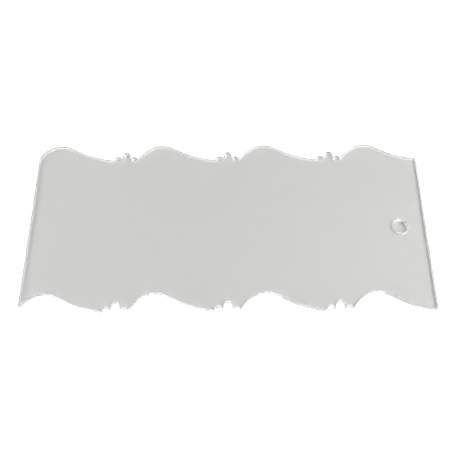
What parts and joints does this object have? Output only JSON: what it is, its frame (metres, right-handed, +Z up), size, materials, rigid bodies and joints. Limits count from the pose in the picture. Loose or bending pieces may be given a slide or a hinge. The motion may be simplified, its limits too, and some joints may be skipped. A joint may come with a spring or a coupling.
{
  "type": "cake comb",
  "caption": "Flat clear acrylic cake comb: rounded waves and small arches cut along both long edges, straight ends, and a hanging hole near one end.",
  "frame": {"origin": "middle of the bounding box in plan, on the underside of the sheet", "axes": "+X along the sheet towards the end with the hanging hole, +Y across it towards the edge whose arches stand out as bumps, +Z up out of the upper face"},
  "size_m": [0.2286, 0.108, 0.0032],
  "materials": {
    "acrylic": "clear cast acrylic: polished faces, smooth laser-cut edges"
  },
  "bodies": {
    "root": {"comb_plate": "acrylic"}
  },
  "joints": []
}
